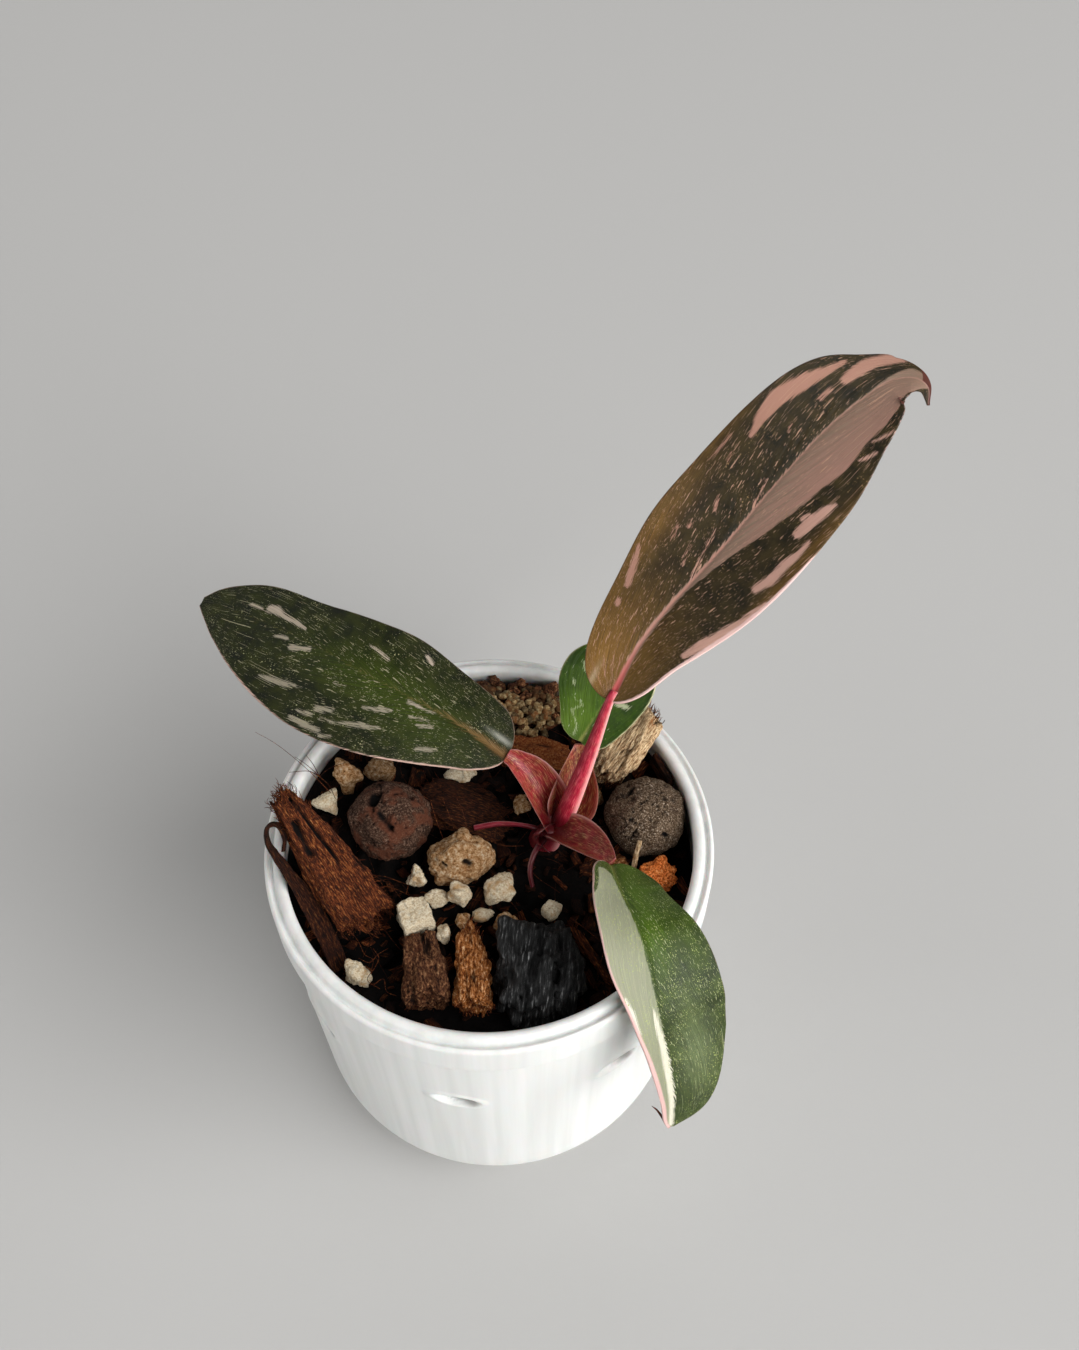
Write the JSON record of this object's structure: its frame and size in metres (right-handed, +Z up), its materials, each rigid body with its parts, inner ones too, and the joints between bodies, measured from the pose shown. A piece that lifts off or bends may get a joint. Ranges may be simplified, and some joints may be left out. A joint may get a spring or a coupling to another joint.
{
  "type": "potted pink princess philodendron",
  "caption": "Variegated aroid house plant with pink-splashed leaves on a short red stem, standing in a round white pot of chunky bark and pumice mix.",
  "frame": {"origin": "centre of the pot's flat base, where it stands", "axes": "+Z up through the pot, -Y towards the front of the picture, +X to its right, the side that the tall leaf leans to"},
  "size_m": [0.1298, 0.1037, 0.1404],
  "materials": {
    "pot": "satin white moulded plastic",
    "coir_mix": "matt damp coir and bark dust",
    "stem": "smooth waxy red skin",
    "leaf_bronze": "satin waxy leaf, olive bronze with pink sectors",
    "leaf_dark_green": "satin waxy leaf, dark green with pale flecks",
    "leaf_fresh_green": "satin waxy leaf, fresh green with pale flecks",
    "clay": "fired expanded clay, pitted",
    "bark": "rough fibrous bark",
    "charcoal": "matt black charcoal with a silky grain",
    "pumice": "matt porous pumice"
  },
  "bodies": {
    "root": {"pot": "pot", "potting_mix": "coir_mix", "stem_with_petioles": "stem", "leaf_tall": "leaf_bronze", "leaf_left": "leaf_dark_green", "leaf_right": "leaf_fresh_green", "leaf_back": "leaf_fresh_green", "clay_ball_left": "clay", "clay_ball_right": "clay", "charcoal_lump": "charcoal", "gravel_heap": "pumice", "bark_tall": "bark", "bark_curl": "bark", "bark_back": "bark", "bark_right": "bark", "bark_strip": "bark", "bark_chip_front": "bark", "bark_chunk_fibrous": "bark", "bark_sliver": "bark", "husk_flake": "bark", "bark_crumb_orange": "bark", "bark_crumb_red": "bark", "straw_stub": "bark", "pumice_large": "pumice", "pumice_white_block": "pumice", "pumice_01": "pumice", "pumice_02": "pumice", "pumice_03": "pumice", "pumice_04": "pumice", "pumice_05": "pumice", "pumice_06": "pumice", "pumice_07": "pumice", "pumice_08": "pumice", "pumice_09": "pumice", "pumice_10": "pumice", "pumice_11": "pumice", "pumice_12": "pumice", "pumice_13": "pumice", "pumice_14": "pumice", "pumice_15": "pumice", "pumice_16": "pumice"}
  },
  "joints": []
}
